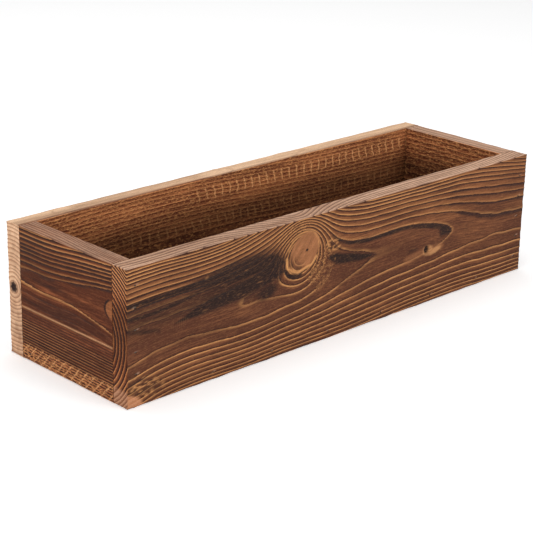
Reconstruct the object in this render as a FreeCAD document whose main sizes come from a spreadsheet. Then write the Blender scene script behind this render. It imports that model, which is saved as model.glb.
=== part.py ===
"""Rectangular window box planter in torched softwood.

Two long boards, front and back, run the full length of the box and cover the ends of the two short boards
between them, so all four corners are plain butt joints. The floor board lies between the four walls, flush
with their lower edges, and has a row of drain holes. Everything is held by T-head brads driven square
through the walls: a row up each corner, into the end grain of the short boards, and rows along the bottom,
into the edges of the floor. The heads are sunk a little below the face, which leaves a small pit over each.

Millimetres. +X runs along the box, +Y to the back, +Z up. The origin is on the ground, under the middle.
"""
import FreeCAD, Part
import os
import Sketcher

OUTPUT_FOLDER = "parts"
ON_FACE = 1e-6  # closer than this to a plane, a point counts as lying on it

# Driving dimensions: name, value, what it is.
SIZES = [
    ("box_length", 445.0, "length over the ends of the front and back boards"),
    ("box_depth", 141.0, "depth over the outer faces of the front and back boards"),
    ("box_height", 106.0, "height of all four walls"),
    ("wall_thickness", 16.0, "thickness of the front and back boards"),
    ("end_thickness", 16.5, "thickness of the two short end boards"),
    ("floor_thickness", 12.0, "thickness of the floor board"),
    ("floor_clearance", 0.3, "gap between the floor board and each wall"),
    ("arris_radius", 1.2, "sanded arrises round the outside of the box"),
    ("inner_arris", 0.9, "flat sanded on the inner top arris of each wall"),
    ("drain_diameter", 10.0, "bore of a drain hole"),
    ("drain_chamfer", 1.2, "countersink at the upper mouth of a drain hole"),
    ("drain_count", 4, "drain holes in a row along the floor"),
    ("drain_end_margin", 52.0, "end of the floor board to the middle of the first drain hole"),
    ("brad_length", 30.0, "brad from the top of its head to its point"),
    ("brad_width", 1.25, "wide side of the wire of a brad"),
    ("brad_gauge", 1.0, "thin side of the wire of a brad, and thickness of its head"),
    ("brad_point", 1.6, "length of the chisel point"),
    ("brad_tip_width", 0.35, "width left at the end of the chisel point"),
    ("head_width", 2.0, "width of the T head"),
    ("head_height", 0.6, "height of the T head, along the brad"),
    ("head_sink", 0.8, "how far the top of the head lies below the face of the board"),
    ("corner_row_count", 5, "brads up each corner"),
    ("left_row_top", 13.5, "top edge to the highest brad of the rows into the left end board"),
    ("left_row_bottom", 25.5, "bottom edge to the lowest brad of the rows into the left end board"),
    ("right_row_top", 18.0, "top edge to the highest brad of the rows into the right end board"),
    ("right_row_bottom", 15.0, "bottom edge to the lowest brad of the rows into the right end board"),
    ("floor_row_count", 6, "brads along the front, and along the back, into the floor"),
    ("floor_row_left", 81.0, "left end of the box to the first brad into the floor"),
    ("floor_row_right", 59.0, "right end of the box to the last brad into the floor"),
    ("end_row_count", 2, "brads through each end board into the floor"),
    ("end_row_margin", 25.0, "front or back face of the box to the nearest brad through an end board"),
]
SIZE_NAMES = {name for name, _, _ in SIZES}

# Lengths that follow from the driving dimensions, as expressions of them.
HALF_LENGTH = "( box_length / 2 )"
HALF_DEPTH = "( box_depth / 2 )"
INSIDE_HALF_LENGTH = "( box_length / 2 - end_thickness )"
INSIDE_HALF_DEPTH = "( box_depth / 2 - wall_thickness )"
CORNER_ROW_X = "( box_length / 2 - end_thickness / 2 )"  # up the middle of an end board's thickness
CORNER_ROW_DEPTH = "( end_thickness / 2 )"

LEFT_ROW_LENGTH = "( box_height - left_row_top - left_row_bottom )"
RIGHT_ROW_LENGTH = "( box_height - right_row_top - right_row_bottom )"
LONG_ROW_LENGTH = "( box_length - floor_row_left - floor_row_right )"
SHORT_ROW_LENGTH = "( box_depth - 2 * end_row_margin )"
FLOOR_MID_HEIGHT = "( floor_thickness / 2 )"

# Rows of brads: the axis of the brad's sketch that the row follows, N up the wall and H along it, then the
# height of the lowest brad, the length of the row, and how many brads it has.
LEFT_ROW = ("N_Axis", "left_row_bottom", LEFT_ROW_LENGTH, "corner_row_count")
RIGHT_ROW = ("N_Axis", "right_row_bottom", RIGHT_ROW_LENGTH, "corner_row_count")
LONG_ROW = ("H_Axis", FLOOR_MID_HEIGHT, LONG_ROW_LENGTH, "floor_row_count")
SHORT_ROW = ("H_Axis", FLOOR_MID_HEIGHT, SHORT_ROW_LENGTH, "end_row_count")

# A place is a turn about Z in degrees, then an X and a Y, all three as text.
HERE = ("0", "0", "0")

# All four walls are drawn alike, outer face on the local XZ plane and thickness along local +Y. A side is
# the place of the middle of such a wall. The table gives local +X of a side, by its turn.
FRONT = ("0", "0", f"-1 * {HALF_DEPTH}")
BACK = ("180", "0", HALF_DEPTH)
LEFT = ("-90", f"-1 * {HALF_LENGTH}", "0")
RIGHT = ("90", HALF_LENGTH, "0")
ALONG_SIDE = {"0": ("1", "0"), "180": ("-1", "0"), "-90": ("0", "-1"), "90": ("0", "1")}

# Every row of brads: its name, the side it is driven from, where it starts along that side, and the row.
BRAD_ROWS = [
    ("corner_brads_front_left", FRONT, f"-1 * {CORNER_ROW_X}", LEFT_ROW),
    ("corner_brads_front_right", FRONT, CORNER_ROW_X, RIGHT_ROW),
    ("corner_brads_back_left", BACK, CORNER_ROW_X, LEFT_ROW),
    ("corner_brads_back_right", BACK, f"-1 * {CORNER_ROW_X}", RIGHT_ROW),
    ("floor_brads_front", FRONT, f"( floor_row_left - {HALF_LENGTH} )", LONG_ROW),
    ("floor_brads_back", BACK, f"( floor_row_right - {HALF_LENGTH} )", LONG_ROW),
    ("floor_brads_left", LEFT, f"( end_row_margin - {HALF_DEPTH} )", SHORT_ROW),
    ("floor_brads_right", RIGHT, f"( end_row_margin - {HALF_DEPTH} )", SHORT_ROW),
]
INTO_FLOOR = (LONG_ROW, SHORT_ROW)

doc = FreeCAD.newDocument("WindowBoxPlanter")
sheet = doc.addObject("Spreadsheet::Sheet", "Sizes")
for row_number, (size_name, size_value, meaning) in enumerate(SIZES, start=1):
    sheet.set(f"A{row_number}", size_name)
    sheet.set(f"B{row_number}", str(size_value))
    sheet.setAlias(f"B{row_number}", size_name)
    sheet.set(f"C{row_number}", meaning)
doc.recompute()


# --- Sizes, places and sketches ------------------------------------------------------------------


def from_sheet(text):
    """The expression, with every word that names a size reading that size's cell."""
    return " ".join(f"Sizes.{word}" if word in SIZE_NAMES else word for word in text.split())


def number_now(text):
    """What an expression of the sizes comes to now."""
    result = sheet.evalExpression(from_sheet(text))
    return float(getattr(result, "Value", result))


def bind(target, texts):
    """Binds properties of an object to expressions of the sizes."""
    for property_name, text in texts.items():
        target.setExpression(property_name, from_sheet(text))


def set_place(target, placement, place, height="0"):
    """Turns a body or a sketch about Z and moves it to its place and height."""
    turn, x, y = place
    setattr(target, placement, FreeCAD.Placement(FreeCAD.Vector(), FreeCAD.Rotation(float(turn), 0, 0)))
    bind(target, {f"{placement}.Base.x": x, f"{placement}.Base.y": y, f"{placement}.Base.z": height})


def place_along(side, start):
    """The place of a point on a side's outer face, so far from the middle along that side."""
    turn, middle_x, middle_y = side
    step_x, step_y = ALONG_SIDE[turn]
    return (turn, f"{middle_x} + {step_x} * {start}", f"{middle_y} + {step_y} * {start}")


def new_body(label, place=HERE, height="0"):
    """An empty body in its place, which may hold several separate solids."""
    body = doc.addObject("PartDesign::Body", label)
    body.Label = label
    body.AllowCompound = True
    set_place(body, "Placement", place, height)
    return body


def new_sketch(body, name, plane, place=HERE, height="0"):
    """A sketch on one of the body's own planes, turned and moved in the axes of that plane."""
    sketch = body.newObject("Sketcher::SketchObject", f"{body.Label}_{name}")
    support = next(item for item in body.Origin.OriginFeatures if item.Role == plane)
    sketch.AttachmentSupport = [(support, "")]
    sketch.MapMode = "FlatFace"
    set_place(sketch, "AttachmentOffset", place, height)
    return sketch


def draw_outline(sketch, corners):
    """A closed ring of lines. Each corner is (across, up) from the sketch's origin, as expressions."""
    count = len(corners)
    points = [FreeCAD.Vector(number_now(across), number_now(up), 0) for across, up in corners]
    for line in range(count):
        sketch.addGeometry(Part.LineSegment(points[line], points[(line + 1) % count]))
    for line in range(count):
        sketch.addConstraint(Sketcher.Constraint("Coincident", line, 2, (line + 1) % count, 1))
    for line, corner in enumerate(corners):
        for kind, text in zip(("DistanceX", "DistanceY"), corner):
            constraint = Sketcher.Constraint(kind, -1, 1, line, 1, number_now(text))
            sketch.renameConstraint(sketch.addConstraint(constraint), f"{kind}{line}")
            bind(sketch, {f"Constraints.{kind}{line}": text})


# --- Features ------------------------------------------------------------------------------------


def add_feature(body, kind, name, sketch, texts):
    """A feature made from a sketch, with its sizes bound to expressions."""
    feature = body.newObject(f"PartDesign::{kind}", f"{body.Label}_{name}")
    feature.Profile = sketch
    bind(feature, texts)
    return feature


def add_row(body, name, feature, sketch, axis, length, count):
    """Repeats a feature in a row along an axis of its sketch, the first one included."""
    pattern = body.newObject("PartDesign::LinearPattern", f"{body.Label}_{name}")
    pattern.Originals = [feature]
    pattern.Direction = (sketch, [axis])
    bind(pattern, {"Length": length, "Occurrences": count})
    body.Tip = pattern


def round_edges(body, name, radius, is_wanted):
    """Rounds those edges of the body that the test picks."""
    doc.recompute()
    base = body.Tip
    picked = [f"Edge{i}" for i, edge in enumerate(base.Shape.Edges, start=1) if is_wanted(edge)]
    fillet = body.newObject("PartDesign::Fillet", f"{body.Label}_{name}")
    fillet.Base = (base, picked)
    bind(fillet, {"Radius": radius})


def touches_outer_face(edge):
    """Whether an edge of a wall has an end on the wall's outer face."""
    return any(abs(vertex.Y) < ON_FACE for vertex in edge.Vertexes)


def runs_along_outer_face(edge):
    """Whether an edge of a wall is the upper or lower arris of its outer face."""
    first, last = edge.Vertexes
    return max(abs(first.Y), abs(last.Y), abs(first.Z - last.Z)) < ON_FACE


def add_brad_row(body, name, kind, place, row, head_top):
    """A row of brads as solids, or of the holes they make, from the outline of one brad seen from above.

    The outline starts at the board's outer face, points along the sketch's +Y and has its T head there.
    """
    axis, height, length, count = row
    under_head = "( head_sink + head_height )"
    point_end = "( head_sink + brad_length )"
    half_outline = [
        ("head_width / 2", head_top),
        ("head_width / 2", under_head),
        ("brad_width / 2", under_head),
        ("brad_width / 2", f"{point_end} - brad_point"),
        ("brad_tip_width / 2", point_end),
    ]
    mirrored = [(f"-1 * {across}", up) for across, up in reversed(half_outline)]
    sketch = new_sketch(body, f"{name}_outline", "XY_Plane", place, height)
    draw_outline(sketch, half_outline + mirrored)
    feature = add_feature(body, kind, name, sketch, {"Length": "brad_gauge"})
    feature.SideType = "Symmetric"
    add_row(body, f"{name}_row", feature, sketch, axis, length, count)


def cut_brad_holes(body, name, place, row):
    """The holes of a row of brads, with the open pit over each head."""
    add_brad_row(body, name, "Pocket", place, row, head_top="0")


# --- Pieces --------------------------------------------------------------------------------------


def make_wall(label, side, half_length, thickness, eased_half_length, is_rounded):
    """A wall board with eased arrises and the holes of the brads that are driven through it."""
    body = new_body(label, side)
    outline = new_sketch(body, "outline", "XZ_Plane")
    left, right = f"-1 * {half_length}", half_length
    draw_outline(outline, [(left, "0"), (right, "0"), (right, "box_height"), (left, "box_height")])
    add_feature(body, "Pad", "board", outline, {"Length": thickness}).Reversed = True
    round_edges(body, "outer_arris", "arris_radius", is_rounded)

    corner = new_sketch(body, "inner_arris_outline", "YZ_Plane")
    across_flat = (f"{thickness} - inner_arris", "box_height")
    down_flat = (thickness, "box_height - inner_arris")
    draw_outline(corner, [(thickness, "box_height"), across_flat, down_flat])
    eased = add_feature(body, "Pocket", "inner_arris", corner, {"Length": f"2 * {eased_half_length}"})
    eased.SideType = "Symmetric"

    for name, row_side, start, row in BRAD_ROWS:
        if row_side == side:
            cut_brad_holes(body, name, ("0", start, "0"), row)
    return body


def make_long_board(label, side):
    """A front or back board. Its inner arris is eased only between the end boards."""
    return make_wall(label, side, HALF_LENGTH, "wall_thickness", INSIDE_HALF_LENGTH, touches_outer_face)


def make_end_board(label, side, corner_row):
    """A short board, with the holes that the corner brads make in the end grain of both its ends."""
    half_length = INSIDE_HALF_DEPTH
    body = make_wall(label, side, half_length, "end_thickness", half_length, runs_along_outer_face)
    for name, turn, x in (("first_end", "90", HALF_DEPTH), ("second_end", "-90", f"-1 * {HALF_DEPTH}")):
        cut_brad_holes(body, name, (turn, x, CORNER_ROW_DEPTH), corner_row)
    return body


def make_floor(label):
    """The floor board, with the holes of the brads in its edges and the row of drain holes."""
    body = new_body(label)
    right = f"( {INSIDE_HALF_LENGTH} - floor_clearance )"
    back = f"( {INSIDE_HALF_DEPTH} - floor_clearance )"
    left, front = f"-1 * {right}", f"-1 * {back}"
    outline = new_sketch(body, "outline", "XY_Plane")
    draw_outline(outline, [(left, front), (right, front), (right, back), (left, back)])
    add_feature(body, "Pad", "board", outline, {"Length": "floor_thickness"})

    for name, side, start, row in BRAD_ROWS:
        if row in INTO_FLOOR:
            cut_brad_holes(body, name, place_along(side, start), row)

    bore = "( drain_diameter / 2 )"
    profile = new_sketch(body, "drain_profile", "XZ_Plane", ("0", f"drain_end_margin - {right}", "0"))
    countersink = [(bore, "floor_thickness - drain_chamfer"), (f"{bore} + drain_chamfer", "floor_thickness")]
    draw_outline(profile, [("0", "0"), (bore, "0"), *countersink, ("0", "floor_thickness")])
    drain = add_feature(body, "Groove", "drain", profile, {})
    drain.ReferenceAxis = (profile, ["V_Axis"])
    drain.Angle = 360
    drain_row_length = f"2 * ( {right} - drain_end_margin )"
    add_row(body, "drain_row", drain, profile, "H_Axis", drain_row_length, "drain_count")
    return body


def make_brads(label, side, start, row):
    """A row of brads as separate solids, placed on the board's outer face."""
    axis, height, length, count = row
    body = new_body(label, place_along(side, start), height)
    add_brad_row(body, "brad", "Pad", HERE, (axis, "0", length, count), head_top="head_sink")
    return body


# --- Build, check and write ----------------------------------------------------------------------

bodies = [
    make_long_board("front_board", FRONT),
    make_long_board("back_board", BACK),
    make_end_board("left_end_board", LEFT, LEFT_ROW),
    make_end_board("right_end_board", RIGHT, RIGHT_ROW),
    make_floor("floor_board"),
]
bodies += [make_brads(*entry) for entry in BRAD_ROWS]
doc.recompute()

for item in doc.Objects:
    if {"Invalid", "Error"} & set(item.State):
        raise RuntimeError(f"{item.Label} did not recompute: {item.State}")
for body in bodies:
    if body.Shape.isNull() or not body.Shape.isValid():
        raise RuntimeError(f"{body.Label} has no valid shape")

os.makedirs(OUTPUT_FOLDER, exist_ok=True)
for body in bodies:
    body.Shape.exportStep(f"{OUTPUT_FOLDER}/{body.Label}.step")
    print(f"{body.Label}: {len(body.Shape.Solids)} solids, {body.Shape.Volume:.1f} mm3")
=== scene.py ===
"""A window box in torched and brushed softwood, dressed board by board around its CAD frame.

Every board is a closed mesh cut into a fine grid. Its wood comes from one field, the count of growth rings
outward from the pith, which is worked out at every vertex from the pith's path beside the board and the
knots near it. The field shapes the brushed relief of the mesh, and the materials draw their grain from it.

The boards are worked out in millimetres and the row's axes. A board's own coordinates are along it, up it
and in from its outer face.
"""
from dataclasses import dataclass
from math import cos, radians, sin
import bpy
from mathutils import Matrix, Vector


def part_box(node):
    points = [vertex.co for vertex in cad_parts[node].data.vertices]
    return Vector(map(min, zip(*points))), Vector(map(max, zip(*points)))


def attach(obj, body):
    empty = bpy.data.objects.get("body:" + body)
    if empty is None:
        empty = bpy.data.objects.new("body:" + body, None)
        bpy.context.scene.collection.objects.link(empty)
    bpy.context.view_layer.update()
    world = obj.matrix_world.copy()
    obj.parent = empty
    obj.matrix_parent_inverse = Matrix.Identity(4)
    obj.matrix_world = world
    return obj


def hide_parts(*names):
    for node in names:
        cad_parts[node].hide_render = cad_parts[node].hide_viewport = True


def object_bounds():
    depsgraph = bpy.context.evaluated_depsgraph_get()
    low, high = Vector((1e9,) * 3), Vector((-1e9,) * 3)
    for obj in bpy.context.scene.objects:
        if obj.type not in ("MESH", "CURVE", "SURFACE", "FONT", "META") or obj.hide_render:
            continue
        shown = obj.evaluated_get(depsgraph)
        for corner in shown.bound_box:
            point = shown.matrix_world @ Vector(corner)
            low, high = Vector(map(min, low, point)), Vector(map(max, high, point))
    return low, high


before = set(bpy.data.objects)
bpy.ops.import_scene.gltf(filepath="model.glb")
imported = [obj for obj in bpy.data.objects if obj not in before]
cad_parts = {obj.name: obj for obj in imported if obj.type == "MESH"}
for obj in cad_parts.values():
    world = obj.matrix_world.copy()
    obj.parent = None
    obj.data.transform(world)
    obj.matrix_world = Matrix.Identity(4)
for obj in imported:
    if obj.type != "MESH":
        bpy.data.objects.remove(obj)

from types import SimpleNamespace

import bmesh
import bpy
import numpy as np
from mathutils import Matrix, Vector

cad_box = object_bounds()
MM = 0.001

# --- Smooth numbers ---

LUMP_RATE, RIPPLE_PEAK = 2.2, 1.2  # how fast ripple's waves run, and how high they reach together
HASH_FACTORS = (73856093, 19349663, 1274126177)  # large odd numbers that scatter whole places
HASH_LIMIT = 0x7FFFFFFF


def smooth(x, low, high):
    """0 below low, 1 above high, and an easy slope between. It falls where high is the lower one."""
    share = np.clip((x - low) / (high - low), 0, 1)
    return share * share * (3 - 2 * share)


def curve(stops, x):
    """A smooth curve through a few (place, value) stops, or the one value of a single stop."""
    places, values = np.array(stops, float).T
    if len(places) == 1:
        return values[0]
    slopes = np.gradient(values, places)
    x = np.clip(x, places[0], places[-1])
    i = np.clip(np.searchsorted(places, x) - 1, 0, len(places) - 2)
    width = places[i + 1] - places[i]
    s = (x - places[i]) / width
    rise = values[i + 1] - values[i]
    start, end = slopes[i] * width, slopes[i + 1] * width
    return values[i] + s * (start + s * (3 * rise - 2 * start - end + s * (start + end - 2 * rise)))


def ripple(seed, *coordinates, waves=7):
    """Soft noise, mostly within -1 to 1, from coordinates already divided by the size of its lumps."""
    draw = np.random.default_rng(seed)
    total = 0
    for _ in range(waves):
        heading = draw.normal(size=len(coordinates))
        turned = sum(h * LUMP_RATE * x for h, x in zip(heading, coordinates))
        total = total + np.sin(turned + draw.uniform(0, 6.28))
    return total / np.sqrt(waves) / RIPPLE_PEAK


def speckle(seed, *coordinates):
    """Grainy noise from 0 to 1: a random number at every whole place, eased between them."""
    cells = [np.floor(x).astype(np.int64) for x in coordinates]
    eased = [(x - cell) ** 2 * (3 - 2 * (x - cell)) for x, cell in zip(coordinates, cells)]
    key_factor, cell_factor, mix_factor = HASH_FACTORS
    total = 0
    for corner in np.ndindex(*(2,) * len(coordinates)):
        key, weight = np.int64(seed), 1
        for step, cell, share in zip(corner, cells, eased):
            key = (key * key_factor + (cell + step) * cell_factor) & HASH_LIMIT
            key = (key ^ (key >> 13)) * mix_factor & HASH_LIMIT
            weight = weight * (share if step else 1 - share)
        total = total + weight * ((key ^ (key >> 16)) & 0xFFFF) / 0xFFFF
    return total


def most(*weights):
    """The strongest of several weights at every place."""
    return np.maximum.reduce(weights)


def stroke(u, v, points, radius, soft):
    """1 within a radius of a line through points, falling to 0 over a soft edge."""
    nearest = np.full(np.shape(u), np.inf)
    for (u0, v0), (u1, v1) in zip(points, points[1:]):
        du, dv = u1 - u0, v1 - v0
        share = np.clip(((u - u0) * du + (v - v0) * dv) / (du * du + dv * dv), 0, 1)
        nearest = np.minimum(nearest, np.hypot(u - u0 - share * du, v - v0 - share * dv))
    return smooth(nearest, radius + soft, radius)


def band(u, v, middle, half):
    """1 along a smooth line, fading at its sides. Its half width changes along the board."""
    width = curve(half, u)
    return smooth(np.abs(v - curve(middle, u)) / np.maximum(width, 0.01), 1.5, 0.4) * (width > 0.05)


def patch(u, v, centre, half_sizes, turn=0.0):
    """Distance from the middle of a turned ellipse, as a share of its radius."""
    du, dv = u - centre[0], v - centre[1]
    c, s = cos(radians(turn)), sin(radians(turn))
    return np.hypot((du * c + dv * s) / half_sizes[0], (dv * c - du * s) / half_sizes[1])


def spot(u, v, centre, half_sizes, turn=0.0, fades=(1.2, 0.5)):
    """1 in the middle of a turned ellipse, fading between two shares of its radius."""
    return smooth(patch(u, v, centre, half_sizes, turn), *fades)


# --- Board meshes ---

EDGE_STEPS = np.array([0.0, 0.15, 0.4, 0.75, 1.2, 1.8])  # grid lines beside every edge of a board
MAP_GAP, WALL_MAP_GAP = 4.0, 6.0  # mm between the flat maps of the sides, and of the holes' walls
ON_LINE = 0.01  # mm within which a vertex counts as on a line
DRAIN_RADIUS = 5.0


def grid_lines(low, high, step, sharp):
    """Grid lines from low to high: close beside both ends, evenly between, and exactly on sharp places."""
    count = max(1, round((high - low - 2 * EDGE_STEPS[-1]) / step))
    middle = np.linspace(low + EDGE_STEPS[-1], high - EDGE_STEPS[-1], count + 1)
    sharp = np.array(sorted(sharp))
    if len(sharp):
        middle = middle[np.abs(middle[:, None] - sharp).min(1) > 0.3 * step]
    return np.unique(np.concatenate([low + EDGE_STEPS, middle, sharp, high - EDGE_STEPS]))


def finer(lines, low, high):
    """The same grid lines, with one more halfway between those from low to high."""
    inside = (lines[:-1] >= low) & (lines[1:] <= high)
    return np.sort(np.concatenate([lines, (lines[:-1] + lines[1:])[inside] / 2]))


def grid_box(x, y, z):
    """Vertices and quads of a closed box whose six sides carry these grid lines."""
    skin = np.ones((len(x), len(y), len(z)), bool)
    skin[1:-1, 1:-1, 1:-1] = False
    number = np.full(skin.shape, -1)
    number[skin] = np.arange(skin.sum())
    places = np.stack(np.meshgrid(x, y, z, indexing="ij"), -1)[skin]
    quads, sides = [], []
    for axis in range(3):
        for end in (0, -1):
            side = np.take(number, end, axis)
            loop = np.stack([side[:-1, :-1], side[1:, :-1], side[1:, 1:], side[:-1, 1:]], -1).reshape(-1, 4)
            quads.append(loop if (end == -1) != (axis == 1) else loop[:, ::-1])
            sides.append(np.full(len(loop), 2 * axis + (end == -1)))
    return places, np.concatenate(quads), np.concatenate(sides)


def round_edge(places, low, high, axes, radius):
    """Rounds the four edges between the sides of two axes. radius(at_high_a, at_high_b, along) is in mm."""
    along = places[:, 3 - sum(axes)].copy()
    for at_high in np.ndindex(2, 2):
        r = np.broadcast_to(radius(*at_high, along), along.shape)
        corner = np.array([(low, high)[end][axis] for end, axis in zip(at_high, axes)])
        inward = 1 - 2 * np.array(at_high)
        from_corner = (places[:, axes] - corner) * inward
        near = (from_corner < r[:, None]).all(1)
        r, from_middle = r[near, None], r[near, None] - from_corner[near]
        rounded = r - from_middle * (r / np.hypot(*from_middle.T)[:, None])
        places[np.ix_(near, axes)] = corner + rounded * inward


def side_map(places, quads, sides):
    """Flat maps of the six sides at one scale, laid out in rows, as UV corners for every quad."""
    low, size = places.min(0), np.ptp(places, axis=0)
    flat = {side: [axis for axis in range(3) if axis != side // 2] for side in range(6)}
    for axes in flat.values():
        axes.sort(key=lambda axis: -size[axis])
    corners = np.zeros((len(quads), 4, 2))
    base = MAP_GAP
    for side in sorted(range(6), key=lambda side: -size[flat[side][0]]):
        chosen = sides == side
        corners[chosen] = (places - low)[quads[chosen]][:, :, flat[side]] + (MAP_GAP, base)
        base += size[flat[side][1]] + MAP_GAP
    scale = max(base, size.max() + 2 * MAP_GAP)
    return corners / scale, scale


def pierce(places, quads, sides, corners, scale, holes, radius=DRAIN_RADIUS, reach=3 * DRAIN_RADIUS):
    """Round holes down through a grid box. Its grid must run along the square round every hole.

    The squares are cut out, the grid round them is bent to circles, and the holes get walls.
    """
    middles = places[quads].mean(1)
    low, high = places[:, 2].min(), places[:, 2].max()
    round_hole = 2 * np.pi * radius
    keep = np.ones(len(quads), bool)
    walls, wall_corners = [], []
    for number, (x, y) in enumerate(holes):
        keep &= (np.abs(middles[:, :2] - (x, y)).max(1) > radius) | (sides < 4)
        from_hole = places[:, :2] - (x, y)
        square = np.abs(from_hole).max(1)
        share = smooth(square, reach, radius) * (square / np.maximum(np.hypot(*from_hole.T), 1e-6) - 1)
        places[:, :2] += from_hole * np.where(square > radius - ON_LINE, share, 0)[:, None]
        loops = []
        for height in (low, high):
            loop = np.flatnonzero((np.abs(square - radius) < ON_LINE) & (places[:, 2] == height))
            turns = np.arctan2(from_hole[loop, 1], from_hole[loop, 0])
            loops.append(loop[np.argsort(turns)])
        lower, upper = loops
        walls.append(np.stack([lower, upper, np.roll(upper, -1), np.roll(lower, -1)], -1))
        start = np.linspace(0, round_hole, len(lower) + 1)
        flat = np.array([[(a, low), (a, high), (b, high), (b, low)] for a, b in zip(start, start[1:])])
        corner = (WALL_MAP_GAP + number * (round_hole + WALL_MAP_GAP), scale - high - WALL_MAP_GAP)
        wall_corners.append((flat + corner) / scale)
    quads = np.concatenate([quads[keep]] + walls)
    used = np.unique(quads)
    fresh = np.zeros(len(places), int)
    fresh[used] = np.arange(len(used))
    return places[used], fresh[quads], np.concatenate([corners[keep]] + wall_corners)


def add_object(name, data):
    """A new object in the scene, from a mesh, a light or a camera."""
    thing = bpy.data.objects.new(name, data)
    bpy.context.scene.collection.objects.link(thing)
    return thing


def make_mesh(name, places, quads, corners):
    """A smooth-shaded mesh object in metres from places in mm."""
    mesh = bpy.data.meshes.new(name)
    mesh.vertices.add(len(places))
    mesh.vertices.foreach_set("co", (places * MM).astype(np.float32).ravel())
    mesh.loops.add(quads.size)
    mesh.loops.foreach_set("vertex_index", quads.astype(np.int32).ravel())
    mesh.polygons.add(len(quads))
    mesh.polygons.foreach_set("loop_start", np.arange(0, quads.size, 4, dtype=np.int32))
    mesh.update(calc_edges=True)
    mesh.polygons.foreach_set("use_smooth", np.ones(len(quads), bool))
    layer = mesh.uv_layers.new(name="OFBake")
    layer.uv.foreach_set("vector", corners.astype(np.float32).ravel())
    return add_object(name, mesh)


def normals_of(thing):
    """Which way each vertex of a mesh faces."""
    normals = np.empty(len(thing.data.vertices) * 3, np.float32)
    thing.data.vertex_normals.foreach_get("vector", normals)
    return normals.reshape(-1, 3).astype(float)


def write_field(thing, name, values):
    """Keeps a number or a vector for each vertex, for the material to read."""
    kind, key = ("FLOAT_VECTOR", "vector") if np.ndim(values) == 2 else ("FLOAT", "value")
    attribute = thing.data.attributes.new(name, kind, "POINT")
    if key == "value":
        values = np.broadcast_to(values, len(thing.data.vertices))
    attribute.data.foreach_set(key, np.asarray(values, np.float32).ravel())


# --- Growth rings ---

PACE_LIMITS = (0.3, 25)  # mm from ring edge to ring edge, at the least and at the most


@dataclass
class Log:
    """The tree round a board: where its pith runs, how its rings widen, and the knots that bend them.

    The pith's path and the stretch of the rings above and below it are stops along the board. A knot has a
    centre, half sizes, a turn in degrees, and how many mm outward it pushes the rings.
    """

    pith_up: tuple
    pith_in: tuple
    ring_radii: np.ndarray
    above: tuple = ((0, 1),)
    below: tuple = ((0, 1),)
    knots: tuple = ()
    seed: int = 0
    drift: float = 0.06

    def read(self, along, up, deep):
        """Ring count, distance from the pith, and distance round it, at places of a board."""
        w = up - curve(self.pith_up, along)
        w = w * np.where(w > 0, curve(self.above, along), curve(self.below, along))
        across = curve(self.pith_in, along) - deep
        radius = np.hypot(across, w)
        for centre, half_sizes, turn, lift in self.knots:
            radius = radius - lift * np.exp(-patch(along, up, centre, half_sizes, turn) ** 2)
        wander = ripple(self.seed, along / 70, up / 25, deep / 25)
        wander = wander + 0.6 * ripple(self.seed + 1, along / 18, up / 6, deep / 6)
        ring = self.count(radius) + self.drift * wander
        return ring, radius, np.arctan2(w, across) * np.abs(radius)

    def pace(self, along, up, deep, normals, step=0.4):
        """Millimetres from ring edge to ring edge, measured along the surface whose normals are given."""
        here = self.read(along, up, deep)[0]
        moved = ((along + step, up, deep), (along, up + step, deep), (along, up, deep + step))
        slope = np.stack([(self.read(*place)[0] - here) / step for place in moved], -1)
        slope = slope - normals * (slope * normals).sum(-1, keepdims=True)
        return np.clip(1 / np.maximum(np.linalg.norm(slope, axis=-1), 1e-3), *PACE_LIMITS)

    def count(self, radius):
        """Whole numbers fall on the ring edges. Past the known rings, the last widths go on."""
        known = self.ring_radii
        inner, outer = known[1] - known[0], known[-1] - known[-2]
        ring = np.interp(radius, known, np.arange(len(known)))
        ring = np.where(radius < known[0], (radius - known[0]) / inner, ring)
        return np.where(radius > known[-1], len(known) - 1 + (radius - known[-1]) / outer, ring)


def even_rings(first, width, count, seed):
    """Ring radii outward from the first, each a little wider or narrower than the last."""
    draw = np.random.default_rng(seed)
    return first + np.concatenate([[0], np.cumsum(width * draw.uniform(0.75, 1.25, count))])


def rings_in_runs(first, *runs):
    """Ring radii outward from the first, in runs of so many rings of one width."""
    widths = [width for count, width in runs for _ in range(count)]
    return first + np.concatenate([[0], np.cumsum(widths)])


# --- Materials ---

# Wood between its lines is deep to base. crest is the golden outside of a ring edge, line its dark inside.
# raw and raw_line are the same wood with its burnt skin gone, heart is knot wood, and sawn a saw stroke.
WOOD = dict(
    base=(143, 91, 58), deep=(90, 53, 38), crest=(208, 148, 92), line=(56, 30, 24), char=(44, 31, 29),
    raw=(227, 186, 157), raw_line=(120, 78, 60), heart=(157, 103, 68), sawn=(205, 150, 100),
)
BACK_WOOD = dict(WOOD, base=(150, 92, 58), deep=(92, 49, 33), raw=(240, 199, 162), raw_line=(178, 124, 90))
END_WOOD = dict(WOOD, base=(142, 82, 51), deep=(86, 45, 29), line=(46, 24, 19), heart=(158, 100, 62))
FLOOR_WOOD = dict(WOOD, base=(134, 92, 62), deep=(92, 58, 42))
ROOMY_PACE = 2.6  # mm between ring edges, under which the lines and crests get narrower
RED_LOSSES = (0.45, 0.55)  # the shares of green and blue that full reddening takes away


def light(red, green, blue):
    """A colour as a picture holds it, 0 to 255, as the light that a shader takes."""
    shares = [c / 255 for c in (red, green, blue)]
    return [c / 12.92 if c <= 0.04045 else ((c + 0.055) / 1.055) ** 2.4 for c in shares] + [1.0]


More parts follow.
